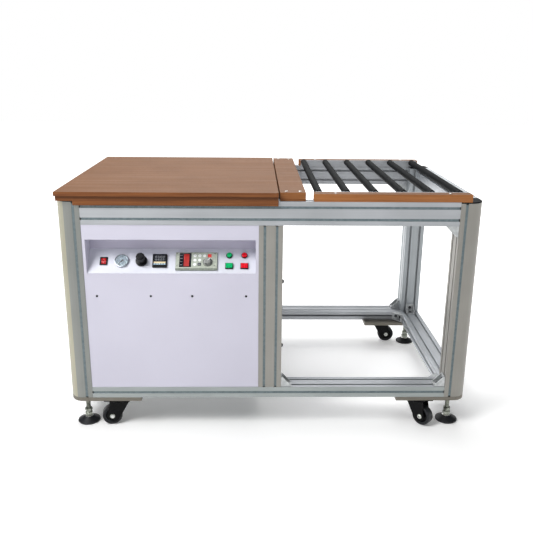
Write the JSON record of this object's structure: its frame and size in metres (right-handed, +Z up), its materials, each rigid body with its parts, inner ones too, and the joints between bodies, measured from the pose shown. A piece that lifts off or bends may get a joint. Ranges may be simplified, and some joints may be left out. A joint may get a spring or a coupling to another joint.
{
  "type": "polarizer removal machine",
  "caption": "Floor-standing bench machine: aluminium profile frame, brown work platform with a film slot, a bed of rollers, and a cabinet with a sloped control panel.",
  "frame": {"origin": "middle of the bounding box in X and Y, on the floor", "axes": "+X right along the long side seen from the operator's side, +Y to the rear, +Z up"},
  "size_m": [1.4, 0.853, 0.85],
  "materials": {
    "aluminium_profile": "satin anodised extrusion",
    "plain_plate": "milled plate",
    "cast_bracket": "blasted casting",
    "zinc_screw": "bright zinc",
    "dark_zinc": "dull zinc",
    "black_plastic": "fine grain",
    "slot_strip": "plain",
    "phenolic_board": "satin, sawn brown edges",
    "rubber_black": "matte",
    "roller_rubber": "matte",
    "bright_steel": "ground",
    "black_fork": "gloss black",
    "lilac_sheet": "powder coat",
    "silicone_orange": "plain",
    "gauge_case": "polished case with a clear lens",
    "keypad_green": "fine grain",
    "red_plastic": "gloss",
    "green_plastic": "gloss",
    "silver_knob": "silvered",
    "motor_paint": "satin enamel"
  },
  "bodies": {
    "frame": {"corner_posts": "aluminium_profile", "middle_posts": "aluminium_profile", "top_rails": "aluminium_profile", "bottom_rails": "aluminium_profile", "post_caps": "black_plastic", "slot_covers": "slot_strip", "foot_plates": "plain_plate", "gussets": "cast_bracket", "frame_bolts": "zinc_screw", "caster_plates": "black_fork", "platform_board": "phenolic_board", "platform_base": "phenolic_board", "transfer_board": "phenolic_board", "roller_boards": "phenolic_board", "bearing_strips": "aluminium_profile", "bearings": "bright_steel", "heater_mat": "silicone_orange", "front_panel": "lilac_sheet", "instrument_tray": "lilac_sheet", "cabinet_panels": "lilac_sheet", "equipment_mounts": "bright_steel", "panel_screws": "zinc_screw", "rocker_frame": "black_plastic", "pressure_gauge": "gauge_case", "regulator_body": "black_plastic", "temperature_controller": "black_plastic", "speed_keypad": "keypad_green", "button_bezels": "black_plastic", "geared_motor": "motor_paint", "drive_belt": "rubber_black", "vacuum_valve": "bright_steel", "service_inlets": "black_plastic"},
    "idle_roller_1": {"idle_roller_1": "roller_rubber"},
    "idle_roller_2": {"idle_roller_2": "roller_rubber"},
    "idle_roller_3": {"idle_roller_3": "roller_rubber"},
    "idle_roller_4": {"idle_roller_4": "roller_rubber"},
    "idle_roller_5": {"idle_roller_5": "roller_rubber"},
    "idle_roller_6": {"idle_roller_6": "roller_rubber"},
    "film_roller": {"film_roller": "bright_steel"},
    "motor_pulley": {"motor_pulley": "bright_steel"},
    "power_rocker": {"power_rocker": "red_plastic"},
    "gauge_needle": {"gauge_needle": "black_plastic"},
    "regulator_knob": {"regulator_knob": "black_plastic"},
    "speed_knob": {"speed_knob": "silver_knob"},
    "start_button": {"start_button": "green_plastic"},
    "stop_button": {"stop_button": "red_plastic"},
    "suction_on_button": {"suction_on_button": "green_plastic"},
    "suction_off_button": {"suction_off_button": "red_plastic"},
    "caster_fork_fl": {"caster_fork_fl": "black_fork"},
    "caster_fork_fr": {"caster_fork_fr": "black_fork"},
    "caster_fork_rl": {"caster_fork_rl": "black_fork"},
    "caster_fork_rr": {"caster_fork_rr": "black_fork"},
    "caster_wheel_fl": {"caster_wheel_fl": "rubber_black"},
    "caster_wheel_fr": {"caster_wheel_fr": "rubber_black"},
    "caster_wheel_rl": {"caster_wheel_rl": "rubber_black"},
    "caster_wheel_rr": {"caster_wheel_rr": "rubber_black"},
    "foot_fl": {"foot_fl": "rubber_black"},
    "foot_fr": {"foot_fr": "rubber_black"},
    "foot_rl": {"foot_rl": "rubber_black"},
    "foot_rr": {"foot_rr": "rubber_black"}
  },
  "joints": [
    {"name": "idle_roller_1_turn", "type": "hinge", "parent": "frame", "child": "idle_roller_1", "pos_m": [0.1585, 0.0065, 0.8375], "axis": [0, 1, 0], "continuous": true},
    {"name": "idle_roller_2_turn", "type": "hinge", "parent": "frame", "child": "idle_roller_2", "pos_m": [0.2523, 0.0065, 0.8375], "axis": [0, 1, 0], "continuous": true},
    {"name": "idle_roller_3_turn", "type": "hinge", "parent": "frame", "child": "idle_roller_3", "pos_m": [0.3461, 0.0065, 0.8375], "axis": [0, 1, 0], "continuous": true},
    {"name": "idle_roller_4_turn", "type": "hinge", "parent": "frame", "child": "idle_roller_4", "pos_m": [0.4399, 0.0065, 0.8375], "axis": [0, 1, 0], "continuous": true},
    {"name": "idle_roller_5_turn", "type": "hinge", "parent": "frame", "child": "idle_roller_5", "pos_m": [0.5337, 0.0065, 0.8375], "axis": [0, 1, 0], "continuous": true},
    {"name": "idle_roller_6_turn", "type": "hinge", "parent": "frame", "child": "idle_roller_6", "pos_m": [0.6275, 0.0065, 0.8375], "axis": [0, 1, 0], "continuous": true},
    {"name": "film_roller_turn", "type": "hinge", "parent": "frame", "child": "film_roller", "pos_m": [0.059, 0.0065, 0.775], "axis": [0, 1, 0], "continuous": true},
    {"name": "motor_pulley_turn", "type": "hinge", "parent": "frame", "child": "motor_pulley", "pos_m": [-0.109, 0.0065, 0.775], "axis": [0, 1, 0], "continuous": true},
    {"name": "power_rocker_tilt", "type": "hinge", "parent": "frame", "child": "power_rocker", "pos_m": [-0.559, -0.37675, 0.60503], "axis": [1, 0, 0], "range_deg": [-18, 0]},
    {"name": "gauge_needle_turn", "type": "hinge", "parent": "frame", "child": "gauge_needle", "pos_m": [-0.4985, -0.38058, 0.6087], "axis": [0, -0.7222, 0.6917], "range_deg": [-270, 0], "stiffness_Nm_per_rad": 0.00001},
    {"name": "regulator_knob_turn", "type": "hinge", "parent": "frame", "child": "regulator_knob", "pos_m": [-0.433, -0.38563, 0.61354], "axis": [0, -0.7222, 0.6917], "range_deg": [-540, 540]},
    {"name": "speed_knob_turn", "type": "hinge", "parent": "frame", "child": "speed_knob", "pos_m": [-0.211, -0.38834, 0.60783], "axis": [0, -0.7222, 0.6917], "range_deg": [-105, 195]},
    {"name": "start_button_press", "type": "slide", "parent": "frame", "child": "start_button", "axis": [0, 0.7222, -0.6917], "range_m": [0, 0.003], "stiffness_N_per_m": 300, "springref_m": -0.002},
    {"name": "stop_button_press", "type": "slide", "parent": "frame", "child": "stop_button", "axis": [0, 0.7222, -0.6917], "range_m": [0, 0.003], "stiffness_N_per_m": 300, "springref_m": -0.002},
    {"name": "suction_on_button_press", "type": "slide", "parent": "frame", "child": "suction_on_button", "axis": [0, 0.7222, -0.6917], "range_m": [0, 0.003], "stiffness_N_per_m": 300, "springref_m": -0.002},
    {"name": "suction_off_button_press", "type": "slide", "parent": "frame", "child": "suction_off_button", "axis": [0, 0.7222, -0.6917], "range_m": [0, 0.003], "stiffness_N_per_m": 300, "springref_m": -0.002},
    {"name": "caster_fl_swivel", "type": "hinge", "parent": "frame", "child": "caster_fork_fl", "pos_m": [-0.538, -0.3735, 0.0937], "axis": [0, 0, 1], "continuous": true},
    {"name": "caster_fl_roll", "type": "hinge", "parent": "caster_fork_fl", "child": "caster_wheel_fl", "pos_m": [-0.56262, -0.37784, 0.0358], "axis": [0.1736, -0.9848, 0], "continuous": true},
    {"name": "caster_fr_swivel", "type": "hinge", "parent": "frame", "child": "caster_fork_fr", "pos_m": [0.538, -0.3735, 0.0937], "axis": [0, 0, 1], "continuous": true},
    {"name": "caster_fr_roll", "type": "hinge", "parent": "caster_fork_fr", "child": "caster_wheel_fr", "pos_m": [0.55568, -0.39118, 0.0358], "axis": [0.7071, 0.7071, 0], "continuous": true},
    {"name": "caster_rl_swivel", "type": "hinge", "parent": "frame", "child": "caster_fork_rl", "pos_m": [-0.538, 0.3865, 0.0937], "axis": [0, 0, 1], "continuous": true},
    {"name": "caster_rl_roll", "type": "hinge", "parent": "caster_fork_rl", "child": "caster_wheel_rl", "pos_m": [-0.56149, 0.39505, 0.0358], "axis": [-0.342, -0.9397, 0], "continuous": true},
    {"name": "caster_rr_swivel", "type": "hinge", "parent": "frame", "child": "caster_fork_rr", "pos_m": [0.538, 0.3865, 0.0937], "axis": [0, 0, 1], "continuous": true},
    {"name": "caster_rr_roll", "type": "hinge", "parent": "caster_fork_rr", "child": "caster_wheel_rr", "pos_m": [0.563, 0.3865, 0.0358], "axis": [0, 1, 0], "continuous": true},
    {"name": "foot_fl_height", "type": "slide", "parent": "frame", "child": "foot_fl", "axis": [0, 0, 1], "range_m": [-0.02, 0.015]},
    {"name": "foot_fr_height", "type": "slide", "parent": "frame", "child": "foot_fr", "axis": [0, 0, 1], "range_m": [-0.02, 0.015]},
    {"name": "foot_rl_height", "type": "slide", "parent": "frame", "child": "foot_rl", "axis": [0, 0, 1], "range_m": [-0.02, 0.015]},
    {"name": "foot_rr_height", "type": "slide", "parent": "frame", "child": "foot_rr", "axis": [0, 0, 1], "range_m": [-0.02, 0.015]}
  ],
  "couplings": [
    {"joint": "motor_pulley_turn", "follows": "film_roller_turn", "ratio": 2}
  ]
}
